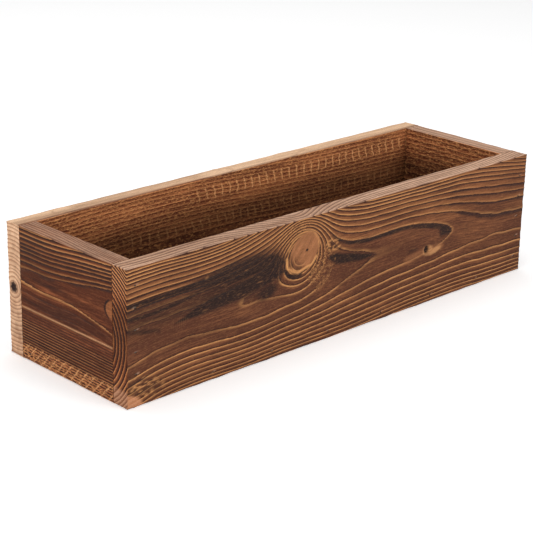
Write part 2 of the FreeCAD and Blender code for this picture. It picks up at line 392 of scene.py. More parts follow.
class Shader:
    """Adds nodes to a material's tree. Sockets and plain numbers can be given alike."""

    def __init__(self, name):
        self.material = bpy.data.materials.new(name)
        self.material.use_nodes = True
        self.tree = self.material.node_tree
        self.surface = self.tree.nodes["Principled BSDF"]

    def put(self, socket, value):
        if isinstance(value, bpy.types.NodeSocket):
            self.tree.links.new(value, socket)
        else:
            socket.default_value = value

    def node(self, kind, inputs, output=0, **settings):
        made = self.tree.nodes.new("ShaderNode" + kind)
        for name, setting in settings.items():
            setattr(made, name, setting)
        for name, value in inputs.items():
            self.put(made.inputs[name], value)
        return made.outputs[output]

    def field(self, name, output="Fac"):
        return self.node("Attribute", {}, output, attribute_name=name)

    def math(self, operation, *values):
        return self.node("Math", dict(enumerate(values)), operation=operation)

    def times(self, *values):
        return self.math("MULTIPLY", *values)

    def ease(self, value, low, high, to_low=0.0, to_high=1.0):
        """The value from low to high, eased to run from to_low to to_high."""
        inputs = {"Value": value, "From Min": low, "From Max": high, "To Min": to_low, "To Max": to_high}
        return self.node("MapRange", inputs, interpolation_type="SMOOTHSTEP")

    def blend(self, share, under, over, way="MIX"):
        made = self.tree.nodes.new("ShaderNodeMix")
        made.data_type, made.blend_type = "RGBA", way
        self.put(made.inputs["Factor"], share)
        self.put(made.inputs[6], under)
        self.put(made.inputs[7], over)
        return made.outputs[2]

    def noise(self, vector, stretch, scale, detail=2.0, rough=0.55):
        """Noise from 0 to 1 over a vector that is first stretched along its three axes."""
        placed = self.node("Mapping", {"Vector": vector, "Scale": stretch})
        inputs = {"Vector": placed, "Scale": scale, "Detail": detail, "Roughness": rough}
        return self.node("TexNoise", inputs)

    def finish(self, inputs):
        """Sets these inputs of the surface, and gives the material."""
        for name, value in inputs.items():
            self.put(self.surface.inputs[name], value)
        return self.material


def grain_noises(s):
    """What breaks up the wood, from broad to fine. All but stir are long drawn out along the grain."""
    grain = s.field("grain", "Vector")
    return SimpleNamespace(
        cloud=s.noise(grain, (0.02, 0.12, 0.12), 1.0, 2.0),
        streak=s.noise(grain, (0.022, 1.0, 1.0), 0.75, 3.0, 0.6),
        stir=s.noise(grain, (0.5, 0.9, 0.9), 1.2, 2.0),
        tuft=s.noise(grain, (0.3, 1.0, 1.0), 1.1, 3.0, 0.65),
        fibre=s.noise(grain, (0.045, 1.0, 1.0), 1.9, 3.0, 0.6),
        hair=s.noise(grain, (0.12, 1.0, 1.0), 5.5, 2.0, 0.6),
    )


def ring_parts(s, noises):
    """Where a place lies in its ring: mm from its inner and outer edge, and the weight of its two lines."""
    shift = s.math("MULTIPLY_ADD", noises.fibre, 0.10, -0.05)
    stirred = s.times(s.math("SUBTRACT", noises.stir, 0.5), s.field("bristle"))
    phase = s.math("FRACT", s.math("ADD", s.math("ADD", s.field("ring"), shift), stirred))
    pace = s.field("pace")
    crowding = s.math("MINIMUM", s.math("DIVIDE", pace, ROOMY_PACE), 1.0)
    outward = s.times(phase, pace)
    inward = s.math("SUBTRACT", pace, outward)

    uneven = s.ease(noises.streak, 0.3, 0.7, 0.6, 1.35)
    late = s.times(s.math("MAXIMUM", s.field("late"), 0.05), uneven)
    late = s.times(late, crowding)
    line = s.ease(s.math("DIVIDE", inward, late), 1.35, 0.55)

    broad = s.math("MULTIPLY_ADD", s.math("MINIMUM", pace, 9.0), 0.2, 0.6)
    crest = s.times(s.ease(s.math("DIVIDE", outward, crowding), broad, 0.2), s.field("crest"))
    crest = s.times(crest, s.ease(noises.streak, 0.32, 0.58, 0.45, 1.0))
    return SimpleNamespace(phase=phase, pace=pace, outward=outward, inward=inward, line=line, crest=crest,
                           inked=s.times(line, s.field("ink")))


def scorched(s, noises, rings, colours):
    """The colour of torched wood: its lines and crests, knot wood, and char over them."""
    fade = s.ease(rings.phase, 0.0, 0.9, 0.28, -0.28)
    warm = s.math("ADD", s.field("warm"), s.math("MULTIPLY_ADD", noises.fibre, 0.9, -0.45))
    warm = s.math("ADD", warm, s.math("MULTIPLY_ADD", noises.streak, 1.4, -0.7))
    warm = s.math("MULTIPLY_ADD", fade, s.ease(rings.pace, 12.0, 5.0), warm)
    body = s.blend(s.ease(warm, 0.0, 1.0), colours["deep"], colours["base"])
    body = s.blend(rings.crest, body, colours["crest"])
    body = s.blend(rings.inked, body, colours["line"])
    body = s.blend(s.field("heart"), body, colours["heart"])

    burn = s.field("burn")
    uneven = s.math("ADD", noises.streak, s.times(noises.hair, 0.4))
    uneven = s.math("MULTIPLY_ADD", uneven, 1.3, -0.91)
    scorch = s.math("ADD", burn, s.times(uneven, s.ease(burn, 0.0, 0.3)))
    scorch = s.times(s.ease(scorch, 0.05, 0.95), s.ease(rings.outward, 0.0, 0.9, 0.80, 1.0))
    return s.blend(scorch, body, colours["char"])


def worn(s, noises, rings, colours, body):
    """Wear and the saw laid over it: golden spots, torn fibre, bare wood and pale strokes."""
    body = s.blend(s.field("gold"), body, colours["crest"])
    torn = s.times(s.field("fuzz"), s.ease(noises.tuft, 0.48, 0.68, 0.0, 0.8))
    body = s.blend(torn, body, colours["crest"])
    late_wood = s.times(s.ease(rings.phase, 0.35, 0.95, 0.0, 0.8), s.ease(rings.pace, 9.0, 4.0))
    clean = s.blend(s.math("MAXIMUM", rings.inked, late_wood), colours["raw"], colours["raw_line"])
    body = s.blend(s.field("sanded"), body, clean)
    stroke_at = s.math("ADD", s.field("saw_at"), s.math("MULTIPLY_ADD", noises.cloud, 0.6, -0.3))
    off = s.math("ABSOLUTE", s.math("SUBTRACT", s.math("FRACT", stroke_at), 0.5))
    saw = s.times(s.ease(off, 0.13, 0.04), s.ease(noises.stir, 0.36, 0.54))
    return s.blend(s.times(saw, s.field("saw")), body, colours["sawn"])


def shaded(s, noises, body):
    """The colour with fine streaks, the board's tone with its painted light and shade, and its reddening."""
    streaks = s.times(s.ease(noises.fibre, 0.25, 0.75, 0.82, 1.18),
                     s.ease(noises.hair, 0.25, 0.75, 0.80, 1.20))
    shade = s.times(streaks, s.field("tone_and_shading"))
    kept = [s.math("MULTIPLY_ADD", s.field("red"), -loss, 1.0) for loss in RED_LOSSES]
    green, blue = (s.times(shade, share) for share in kept)
    tint = s.node("CombineColor", {"Red": shade, "Green": green, "Blue": blue})
    return s.blend(1.0, body, tint, "MULTIPLY")


def wood_material(name, palette):
    """Torched wood, read from the fields of its board's vertices.

    ring counts rings outward, and pace is the mm to the next one. late is the width in mm of the dark line
    inside every ring edge, ink its weight, and crest the weight of the golden line outside it. warm is how
    light the wood between is, burn its charring, and sanded how far its burnt skin is rubbed off. heart is
    knot wood, and gold a spot as golden as the crests. fuzz is torn fibre, and bristle is grain that a knot
    has stirred up. saw is the weight of pale saw strokes, and saw_at counts them. tone is light or shade over
    all, and red how far heat has reddened it. grain holds mm along the board, across the rings, round them.
    """
    colours = {part: light(*colour) for part, colour in palette.items()}
    s = Shader(name)
    noises = grain_noises(s)
    rings = ring_parts(s, noises)
    body = worn(s, noises, rings, colours, scorched(s, noises, rings, colours))
    ridge = s.times(s.ease(rings.inward, 1.6, 0.2), 0.6)
    ridge = s.math("ADD", ridge, s.times(noises.fibre, 0.5))
    height = s.math("ADD", ridge, s.times(noises.hair, 0.4))
    bump = s.node("Bump", {"Height": height, "Strength": 0.4, "Distance": 0.4 * MM})
    gloss = s.ease(rings.line, 0.0, 1.0, 0.8, 0.6)
    return s.finish({"Base Color": shaded(s, noises, body), "Roughness": gloss, "Specular IOR Level": 0.1,
                     "Normal": bump})


def steel_material():
    """Dulled wire: grey, with fine drawn scratches."""
    s = Shader("wire_steel")
    place = s.node("TexCoord", {}, "Object")
    scratch = s.noise(place, (1, 1, 1), 900.0, 2.0)
    colour = s.blend(scratch, light(66, 54, 46), light(104, 88, 74))
    rough = s.ease(scratch, 0.3, 0.7, 0.35, 0.55)
    return s.finish({"Base Color": colour, "Roughness": rough, "Metallic": 0.6})


# --- The boards ---

HEAD_WIDTH, HEAD_GAUGE = 2.0, 1.0  # the heads of the brads, as the CAD nodes have them
PIT_DEPTH, PIT_EASE, PIT_WALL = 0.95, 0.06, 0.15
OUTER_ARRIS, INNER_ARRIS, JOINT_ARRIS, LEAST_ARRIS = 1.2, 0.9, 0.35, 0.2
RIDGE_WIDTH = 0.9  # mm in which the ridge of a ring edge falls away inward
OUTER_LOW = np.array(cad_box[0]) / MM

PLAIN = dict(late=0.7, ink=0.8, crest=0.5, warm=0.5, burn=0.0, sanded=0.0, heart=0.0, gold=0.0, fuzz=0.0,
             bristle=0.0, tone_and_shading=1.0, red=0.0, saw=0.0, saw_at=0.0, relief=1.0, dent=0.0)


def brad_heads(node, axis, across, upward):
    """The (along, up) of every head in a node's box, in mm: so many along an axis, and so many up."""
    low, high = (np.array(corner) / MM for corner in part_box(node))
    alongs, ups = (np.linspace(low[a] + size / 2, high[a] - size / 2, count)
                   for a, size, count in ((axis, HEAD_WIDTH, across), (2, HEAD_GAUGE, upward)))
    return [(along, up) for along in alongs for up in ups]


class Board:
    """One board's mesh, with its own coordinates read off at every vertex.

    The steps of its grid are along it, up it and through it, in mm. pits are the (along, up) places of the
    brads' heads, drains are (x, y), and refine holds (axis, from, to) stretches with a grid twice as fine.
    """

    def __init__(self, node, thick_axis, outer_high, steps, pits=(), refine=(), drains=(), eased=True):
        low, high = (np.array(corner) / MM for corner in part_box(node))
        self.node, self.thick_axis, self.outer_high = node, thick_axis, outer_high
        self.low, self.high, self.pits, self.eased = low, high, pits, eased
        self.long_axis = 1 - thick_axis if thick_axis < 2 else 0
        self.up_axis = 3 - thick_axis - self.long_axis
        steps = dict(zip((self.long_axis, self.up_axis, thick_axis), steps))
        sharp = self.sharp_places(drains)
        lines = [grid_lines(low[axis], high[axis], steps[axis], sharp[axis]) for axis in range(3)]
        for axis, start, end in refine:
            lines[axis] = finer(lines[axis], start, end)
        places, quads, sides = grid_box(*lines)
        corners, scale = side_map(places, quads, sides)
        if drains:
            places, quads, corners = pierce(places, quads, sides, corners, scale, drains)
        self.places, self.quads, self.corners = places, quads, corners

    def sharp_places(self, drains):
        """Where the grid must have a line, for each axis: round the pits and the drains."""
        sharp = (set(), set(), set())
        for along, up in self.pits:
            for half, axis, middle in ((HEAD_WIDTH / 2, self.long_axis, along), (HEAD_GAUGE / 2, 2, up)):
                for reach in (half + PIT_EASE, half + PIT_EASE + PIT_WALL):
                    sharp[axis].update((middle - reach, middle + reach))
        for drain in drains:
            for axis in (0, 1):
                sharp[axis].update((drain[axis] - DRAIN_RADIUS, drain[axis] + DRAIN_RADIUS))
        return sharp

    def read(self, places):
        """Along the board from its left or front end, up it, and in from its outer face."""
        outer = self.high if self.outer_high else self.low
        deep = np.abs(places[:, self.thick_axis] - outer[self.thick_axis])
        along, up = (places[:, axis] - OUTER_LOW[axis] for axis in (self.long_axis, self.up_axis))
        return along, up, deep

    def sink_pits(self, places, deep):
        """The little pit over each brad, on the outer face only."""
        on_face = deep < ON_LINE
        sunk = np.zeros(len(places))
        for along, up in self.pits:
            inside = np.abs(places[:, self.long_axis] - along) < HEAD_WIDTH / 2 + PIT_EASE + ON_LINE
            inside &= np.abs(places[:, 2] - up) < HEAD_GAUGE / 2 + PIT_EASE + ON_LINE
            sunk[inside & on_face] = PIT_DEPTH
        return sunk

    def is_outer(self, axis, at_high):
        """Whether this side of the board is on the outside of the box."""
        if axis == self.thick_axis:
            return at_high == self.outer_high
        return axis == 2 or self.long_axis == 0

    def arris(self, a, b, high_a, high_b):
        """The radius of the edge between two of its sides, in mm."""
        thick = self.thick_axis
        if {a, b} == {thick, 2} and not self.is_outer(thick, high_a if a == thick else high_b):
            return INNER_ARRIS if high_b else JOINT_ARRIS
        return OUTER_ARRIS if self.is_outer(a, high_a) and self.is_outer(b, high_b) else JOINT_ARRIS

    def rounded(self):
        """Its vertices with every edge rounded, the open ones a little unevenly."""
        places = self.places.copy()
        for a, b in ((0, 1), (0, 2), (1, 2)):
            def radius(high_a, high_b, along, a=a, b=b):
                base = self.arris(a, b, high_a, high_b)
                wobble = 0.35 * ripple(a + 3 * b + len(self.node), along / 14) if base > JOINT_ARRIS else 0
                return np.clip(base * (1 + wobble), LEAST_ARRIS, EDGE_STEPS[-1])
            round_edge(places, self.low, self.high, (a, b), radius)
        return places


class Wood:
    """What a board's looks are read from: its own coordinates, ring count, and which way it faces."""

    def __init__(self, along, up, deep, own_normals, ring, pace):
        self.u, self.v, self.deep, self.ring, self.pace = along, up, deep, ring, pace
        lengthwise, upward, inward = own_normals.T
        self.outer, self.inner = smooth(-inward, 0.5, 0.9), smooth(inward, 0.5, 0.9)
        self.first_end, self.last_end = smooth(-lengthwise, 0.5, 0.9), smooth(lengthwise, 0.5, 0.9)
        self.top = smooth(upward, 0.5, 0.9)


def finish_board(board, log, material, looks_of, relief=0.3):
    """Rounds the edges, reads the wood at every vertex, carves its relief and dresses the board."""
    places = board.rounded() if board.eased else board.places
    thing = make_mesh(board.node + "_wood", places, board.quads, board.corners)
    normals = normals_of(thing)
    along, up, deep = board.read(places)
    own = normals[:, (board.long_axis, board.up_axis, board.thick_axis)]
    own = own * (1, 1, -1 if board.outer_high else 1)
    ring, radius, round_pith = log.read(along, up, deep)
    pace = log.pace(along, up, deep, own)
    looks = {"ring": ring, "pace": pace, **PLAIN, **looks_of(Wood(along, up, deep, own, ring, pace))}
    inward = (1 - looks["ring"] % 1) * looks["pace"]
    brushed = relief * (np.exp(-inward / RIDGE_WIDTH) - 1) * looks["relief"]
    carved = places + normals * (brushed - looks["dent"] - board.sink_pits(places, deep))[:, None]
    thing.data.vertices.foreach_set("co", (carved * MM).astype(np.float32).ravel())
    looks["grain"] = np.stack([along, radius, round_pith], -1)
    for name, values in looks.items():
        if name not in ("relief", "dent"):
            write_field(thing, name, values)
    thing.data.materials.append(material)
    thing.data.update()
    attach(thing, "root")
    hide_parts(board.node)


LONG_PITS = brad_heads("corner_brads_front_left", 0, 1, 5) + brad_heads("corner_brads_front_right", 0, 1, 5)
LONG_PITS += brad_heads("floor_brads_front", 0, 6, 1)
END_PITS = brad_heads("floor_brads_left", 1, 2, 1)
DRAINS = [(x, 0.0) for x in (-153.7, -51.2, 51.2, 153.7)]

# --- Looks of the front board ---

# Places are (along, up) in mm from the left or front end and the lower edge of a board, and the stops of a
# path or a width start with the place along it. The front board's pith runs 42 to 54 mm behind its outer
# face, so that the rings close round it in long tongues.
KNOT_AT, KNOT_SIZES, KNOT_TURN, KNOT_MARK = (174, 79.6), (17.5, 13.2), 38, (176.5, 80)
KNOT_BEND = ((172, 80), (21, 19), KNOT_TURN, 26)
KNOT_LIP = ((155, 77), (156, 70), (161, 66), (167.5, 63.6), (175, 65.6), (182, 67), (187, 72.5))
KNOT_RIM = ((156.5, 83), (161, 89.5), (168, 93.5), (176, 95.5), (183, 93.5), (188.5, 87), (190, 80))
FIGURE_TURN = 0.66  # radians by which the figure in the big knot leans
SMALL_KNOT_AT = (317.8, 47.7)
CORNER_BEND = ((0, 0), (22, 22), 0, 2.4)
FINE_STRETCHES = ((140, 210), (308, 330))  # along the board, where the two knots need a finer grid
CHIP_LEAN = np.random.default_rng(4).uniform(-1, 1, len(LONG_PITS))
FRONT_LOG = Log(
    pith_up=((0, 47), (25, 50), (115, 54.5), (165, 59.5), (225, 57.5), (300, 60), (350, 57), (400, 50.5),
             (445, 48)),
    pith_in=((0, 44), (60, 44.5), (130, 42.2), (165, 43), (225, 48.5), (300, 50), (400, 54), (445, 54)),
    above=((0, 1), (100, 1.1), (165, 0.93), (300, 1.1), (400, 0.88), (445, 0.95)),
    below=((0, 1), (115, 1), (170, 0.92), (350, 0.9), (445, 1)),
    ring_radii=rings_in_runs(42.5, (2, 3.5), (6, 2.6), (5, 2.0)),
    knots=(KNOT_BEND, CORNER_BEND),
    seed=3, drift=0.05,
)


def tongue_char(u, v):
    """Char on the left of the big knot: two tongues in a brown haze, and long streaks beyond them."""
    upper = band(u, v, ((0, 77.5), (40, 77.8), (75, 79), (100, 79.5), (130, 79), (152, 76)),
                 ((0, 1.6), (40, 2.6), (75, 5), (100, 8.5), (130, 9.5), (146, 7), (154, 0)))
    lower = band(u, v, ((44, 54.5), (58, 57), (75, 60), (95, 63), (115, 65.5), (140, 69)),
                 ((44, 0), (58, 2.6), (75, 5.5), (95, 7.5), (115, 8), (132, 8), (148, 4), (154, 0)))
    haze = band(u, v, ((0, 66), (60, 68), (110, 71), (146, 74)),
                ((0, 11), (60, 13), (110, 17), (138, 18), (152, 9), (157, 0)))
    haze = haze * (0.48 + 0.2 * smooth(u, 45, 95))
    streak = stroke(u, v, ((0, 67), (25, 67.5), (50, 70), (75, 74), (100, 78)), 0.9, 1.6)
    faint = stroke(u, v, ((0, 60), (10, 57), (30, 53)), 0.8, 2.5)
    under_knot = spot(u, v, (135, 57), (14, 8.5), 10, (1.35, 0.35))
    return most(0.95 * upper, 0.95 * lower, haze, 0.8 * streak, 0.6 * faint, 0.75 * under_knot)


def flame_char(w):
    """Char on the right of the big knot: a small flame, and a long one that follows a ring to its tip."""
    u, v = w.u, w.v
    small = band(u, v, ((203, 67.5), (210, 65), (222, 62.6), (235, 60.4), (248, 58.8)),
                 ((200, 0), (206, 4), (215, 4.5), (225, 4), (236, 3.2), (245, 2.2), (251, 0)))
    inward = (1 - w.ring % 1) * w.pace
    widths = ((200, 2.4), (235, 3.4), (280, 4.0), (312, 4.6), (328, 6.0), (338, 9.0), (346, 12), (352, 13))
    width = curve(widths, u)
    long = (w.ring > 2) * (w.ring < 3) * smooth(inward, width * 1.4, width * 0.8)
    long = long * smooth(u, 200, 208) * smooth(v, 52, 58) * np.where(u > 325, 0.85, 0.75)
    return most(0.9 * small, long)


def front_char(w):
    """All the char of the front's outer face that follows its grain."""
    burl = spot(w.u, w.v, (206, 76.5), (12, 4.5), -15)
    corner = spot(w.u, w.v, (15, 14), (20, 9), -12)
    smudge = spot(w.u, w.v, (300, 50.5), (9, 2))
    return most(tongue_char(w.u, w.v), flame_char(w), 0.6 * burl, 0.4 * corner, 0.55 * smudge)


def big_knot(u, v):
    """The big knot: smooth wood in a golden rim, with rings and char showing through at the lower left."""
    knot = patch(u, v, KNOT_AT, KNOT_SIZES, KNOT_TURN)
    core = smooth(knot, 1.04, 0.94)
    lower_left = smooth(0.8 * (KNOT_AT[0] - u) + (79 - v), 6, 17)
    du, dv = u - KNOT_AT[0], v - KNOT_AT[1]
    c, s = cos(FIGURE_TURN), sin(FIGURE_TURN)
    figure = core * ripple(31, (du * c + dv * s) / 8, (dv * c - du * s) / 1.6)
    blush = stroke(u, v, ((158.5, 80), (159, 73), (163, 68.8), (170, 67)), 1.0, 1.6)
    crescent = stroke(u, v, ((154, 68), (157.5, 63.2), (163, 60.9), (170, 61.2)), 1.3, 1.4)
    crack = stroke(u, v, ((176.5, 80), (177.5, 83), (181, 88)), 0.15, 0.7)
    mark = smooth(np.hypot(u - KNOT_MARK[0], v - KNOT_MARK[1]), 1.6, 0.7)
    below = band(u, v, ((180, 57), (192, 59), (205, 66)),
                 ((178, 0), (184, 9), (192, 14), (202, 12), (209, 0)))
    over = spot(u, v, (169, 99.5), (12, 5), fades=(1.2, 0.6))
    return SimpleNamespace(
        core=core, near=smooth(knot, 2.2, 1.5), heart=core * (1 - 0.7 * lower_left), figure=figure,
        glow=most(stroke(u, v, KNOT_LIP, 0.6, 1.1), 0.55 * stroke(u, v, KNOT_RIM, 0.4, 1)),
        char=most(0.85 * crescent, 0.4 * blush, 0.95 * mark, 0.35 * crack),
        stirred=most(below * (1 - core), 0.5 * over),
    )


def small_knot(u, v):
    """The small knot: a black hole with a pale rim, and a pale lens beside it."""
    rim = spot(u, v, (319, 46.8), (6.5, 4.8), fades=(1.1, 0.75))
    lens = spot(u, v, (328, 44.6), (9, 2.6), 14, (1.1, 0.6))
    return SimpleNamespace(
        pit=spot(u, v, SMALL_KNOT_AT, (3.0, 3.4), -15, (1.2, 0.8)),
        lens=most(0.35 * rim, 0.5 * lens),
        orange=stroke(u, v, ((293, 43.8), (303, 45), (314, 46.5), (336, 47)), 1.4, 3.5),
    )


def front_flecks(u, v, wedge, stirred):
    """Golden flecks in the two burls and in the grain that the big knot has stirred up."""
    burl = spot(u, v, (206, 77), (10, 6), -15, (1.2, 0.6))
    corner = spot(u, v, (16, 14), (20, 9), -12, (1.2, 0.6)) * (1 - wedge)
    in_burls = most(corner, burl) * smooth(speckle(7, u / 1.7, v / 0.9), 0.60, 0.78)
    return most(in_burls, 0.45 * stirred * smooth(speckle(12, u / 1.6, v / 1.1), 0.62, 0.80))


def brad_chips(u, v):
    """Pale chips that the brads have left beside their pits."""
    chips = sum(spot(u, v, (x - OUTER_LOW[0] + 1.9 * lean, z + 0.7), (1.2, 0.6), 25 * lean, (1.2, 0.6))
                for (x, z), lean in zip(LONG_PITS, CHIP_LEAN))
    return np.clip(chips, 0, 1)


def front_warmth(w, upper, plain):
    """How light the front's wood is between its lines. It is lightest along the top and low on the left."""
    u, v = w.u, w.v
    low_left = (0.16 + 0.16 * smooth(u, 150, 60)) * smooth(v, 42, 12)
    warm = 0.14 + 0.42 * upper + 0.1 * spot(u, v, (111, 51), (15, 10), fades=(1.4, 0.3))
    warm = warm + low_left - 0.2 * smooth(u, 330, 445) * smooth(v, 30, 10)
    return warm + 0.14 * ripple(8, u / 45, v / 14) + 0.12 * plain * smooth(u, 330, 370)


def front_gold(w, upper, plain, near_knot, char):
    """How golden the front's crests are: dull in char, in wide plain rings and past the small flame."""
    u, v = w.u, w.v
    gold = 0.95 - 0.45 * smooth(u, 300, 400) * upper + 0.3 * smooth(u, 380, 430) * smooth(v, 50, 35)
    gold = gold - 0.35 * smooth(np.abs(v - 80), 16, 8) + 0.2 * near_knot - 0.1 * smooth(v, 16, 6)
    gold = gold * (1 - 0.85 * smooth(char, 0.2, 0.75)) * (1 - 0.5 * plain)
    return gold * (1 - 0.7 * spot(u, v, (266, 60), (19, 7), fades=(1.3, 0.6)))


def edge_span(w, number, start, end):
    """1 along the inner side of one ring edge, between two places along the board."""
    across = smooth(w.ring, number - 1.0, number - 0.75) * smooth(w.ring, number + 0.5, number + 0.2)
    return across * smooth(w.u, start - 8, start + 8) * smooth(w.u, end + 8, end - 8)


def broad_lines(w):
    """Millimetres that some dark lines are broader by: at the upper right, and a little on the left."""
    above = smooth(w.v, 50, 58)
    broad = 3.4 * edge_span(w, 4, 358, 460) * above
    broad = broad + 1.1 * sum(edge_span(w, number, 345, 460) for number in (5, 6, 7)) * above
    return broad + 0.6 * sum(edge_span(w, number, -20, 125) for number in (3, 4, 5)) * above


def front_looks(w):
    """What fire, brushing and wear left on the front board, and painted light and shade on its inner face."""
    u, v, face = w.u, w.v, w.outer
    ends = most(w.first_end, w.last_end)
    upper, plain, foot = smooth(v, 58, 86), smooth(w.pace, 6, 12), smooth(v, 15, 11)
    knot, small = big_knot(u, v), small_knot(u, v)
    wedge = spot(u, v, (-2, -2), (17, 12.5), fades=(1.04, 0.97))  # smooth wood of the knot in the corner
    flecks = front_flecks(u, v, wedge, knot.stirred)
    char = front_char(w)
    sparks = smooth(char, 0.4, 0.8) * smooth(speckle(9, u / 3.0, v / 1.4), 0.88, 0.95) * smooth(u, 215, 190)
    char = most(char * (1 - knot.core), knot.char, small.pit)
    char = char * (1 - wedge) * (1 - knot.glow) * (1 - 0.9 * flecks) * (1 - 0.4 * sparks)
    open_face = (1 - small.pit) * face
    pale = most(0.12 * wedge, 0.15 * small.lens, 0.35 * brad_chips(u, v)) * open_face
    gold = front_gold(w, upper, plain, knot.near, char)
    broad = broad_lines(w)
    tongue_rim = smooth(w.ring, 0.9, 0.4) * smooth(u, 150, 135)
    rim_wear = w.top * (0.64 + 0.16 * smooth(u, 230, 300) + 0.17 * ripple(15, u / 30, w.deep / 3.5))
    face_ink = np.clip(0.82 + 0.15 * upper + broad - 0.6 * tongue_rim, 0, 1)
    face_shade = 0.35 * wedge + 0.1 * knot.glow + 0.16 * knot.figure
    end_warmth = 0.5 - 0.3 * smooth(np.abs(v - 50), 38, 22)
    end_shade = 0.25 * smooth(v, 75, 92) - 0.5 * smooth(v, 88, 70) * smooth(v, 18, 38)
    return dict(
        burn=char * face,
        late=0.95 + 0.15 * upper + broad * face + 0.55 * ends - 0.25 * w.top - 0.6 * tongue_rim * face,
        ink=np.where(face > 0.5, face_ink, 0.75 + 0.25 * ends),
        crest=np.where(face > 0.5, np.clip(gold, 0, 1), 0.4 + 0.6 * ends),
        warm=np.where(face > 0.5, front_warmth(w, upper, plain), 0.35 + ends * end_warmth),
        sanded=most(pale, rim_wear, 0.3 * ends * foot),
        heart=most(knot.heart, 0.5 * small.orange, wedge) * face + 0.7 * w.first_end * foot,
        gold=most(0.7 * flecks, 0.75 * knot.glow, 1.3 * small.lens, 0.16 * sparks) * open_face,
        fuzz=0.8 * w.inner + 0.12 * face,
        bristle=2.0 * knot.stirred * face,
        # on the inner face, tone is painted light near the top edge and painted shade lower down
        tone_and_shading=(1 + 0.05 * ripple(5, u / 40, v / 15) + face * face_shade
              + w.inner * (0.9 * smooth(v, 60, 92) - 0.1) + w.first_end * end_shade),
        red=w.first_end * (0.1 + 0.4 * smooth(np.abs(v - 52), 45, 22)),
        dent=(1.6 * small.pit + 0.5 * wedge + 0.2 * flecks) * face,
        relief=1 - 0.8 * knot.core * face - 0.9 * w.top,
        saw=0.16 * spot(u, v, (47, 54), (8, 5), fades=(1.2, 0.6)) * face,
        saw_at=u / 1.9,
    )


# --- Looks of the other boards ---

BACK_PITH = (6.7, 55)  # in from the outer face and up, where the back board's end grain is scorched
SPLIT_UP, STRAIGHT_PACE = 42.6, 2.2  # a straight split in the left end, and the even rings below it
BACK_LOG = Log(pith_up=((0, 55), (150, 58), (300, 52), (445, 50)), pith_in=((0, 6.7), (200, 9), (445, 7)),
               ring_radii=even_rings(3.0, 3.3, 30, 11), seed=21)
LEFT_LOG = Log(pith_up=((16, 74), (50, 73), (92, 70), (125, 70)), pith_in=((16, 38), (50, 39.2), (125, 39.8)),
               ring_radii=rings_in_runs(30, (1, 10), (1, 0.8), (4, 1.4), (4, 2.1)),
               below=((16, 0.6), (125, 0.6)), seed=31, drift=0.04)
RIGHT_LOG = Log(pith_up=((16, 40), (125, 44)), pith_in=((16, -30), (125, -34)),
                ring_radii=even_rings(30.0, 3.0, 30, 13), seed=41)
FLOOR_LOG = Log(pith_up=((0, 20), (445, 10)), pith_in=((0, 60), (445, 70)),
                ring_radii=even_rings(30.0, 3.0, 40, 14), seed=51)


def inner_looks(w, seed, rows):
    """Rough insides: torn fibre, painted light near the top and painted shade below it, and (height, half
    width, weight) rows of strokes where the saw turned.
    """
    saw = sum(weight * smooth(np.abs(w.v - height), half + 2, half) for height, half, weight in rows)
    return dict(
        fuzz=w.inner, crest=0.18, ink=0.25, late=0.7, warm=0.42 + 0.2 * ripple(seed, w.u / 50, w.v / 10),
        # painted light and shade: the inside face is lightened near its top edge and darkened lower down,
        # where the walls shade it
        tone_and_shading=1 + w.inner * (1.3 * smooth(w.v, 68, 98) - 0.46), saw=saw * w.inner,
        saw_at=w.u / 8.8 + 0.018 * w.v + 0.2 * ripple(seed + 1, w.u / 60),
    )


def back_looks(w):
    """The back board: scorched outside, torn inside, and almost bare on its rim and its left end."""
    u, v, deep = w.u, w.v, w.deep
    looks = inner_looks(w, 61, ((93, 4, 0.95 * smooth(u, 150, 200)), (68, 3, 0.6 * smooth(u, 80, 110))))
    cream = smooth(u, 182, 196) * (1 - 0.4 * smooth(u, 320, 350)) + smooth(u, 62, 50) * smooth(deep, 10, 6)
    rim = w.top * (0.66 + 0.3 * cream - 0.5 * smooth(deep, 12, 14) + 0.12 * ripple(16, u / 60, deep / 2.5))
    notches = 0.09 * np.sin(7 * np.arctan2(v - BACK_PITH[1], deep - BACK_PITH[0]))
    scorched_pith = smooth(patch(deep, v, BACK_PITH, (3.3, 3.5)) + notches, 1.45, 1.0)
    end = w.first_end * (0.54 + 0.18 * smooth(v, 40, 70) + 0.14 * ripple(17, v / 7, deep / 5))
    return {
        **looks,
        "sanded": most(rim, end * (1 - scorched_pith), 0.5 * w.last_end),
        "burn": w.first_end * scorched_pith,
        "crest": looks["crest"] + 0.4 * w.outer,
        "ink": looks["ink"] + 0.45 * w.outer,
        "late": 0.7 + 0.3 * (1 - w.inner),
        "warm": looks["warm"] * (1 - w.outer) + w.outer * (0.3 + 0.2 * ripple(18, u / 60, v / 18)),
        "tone_and_shading": looks["tone_and_shading"] + 0.12 * w.first_end,
    }


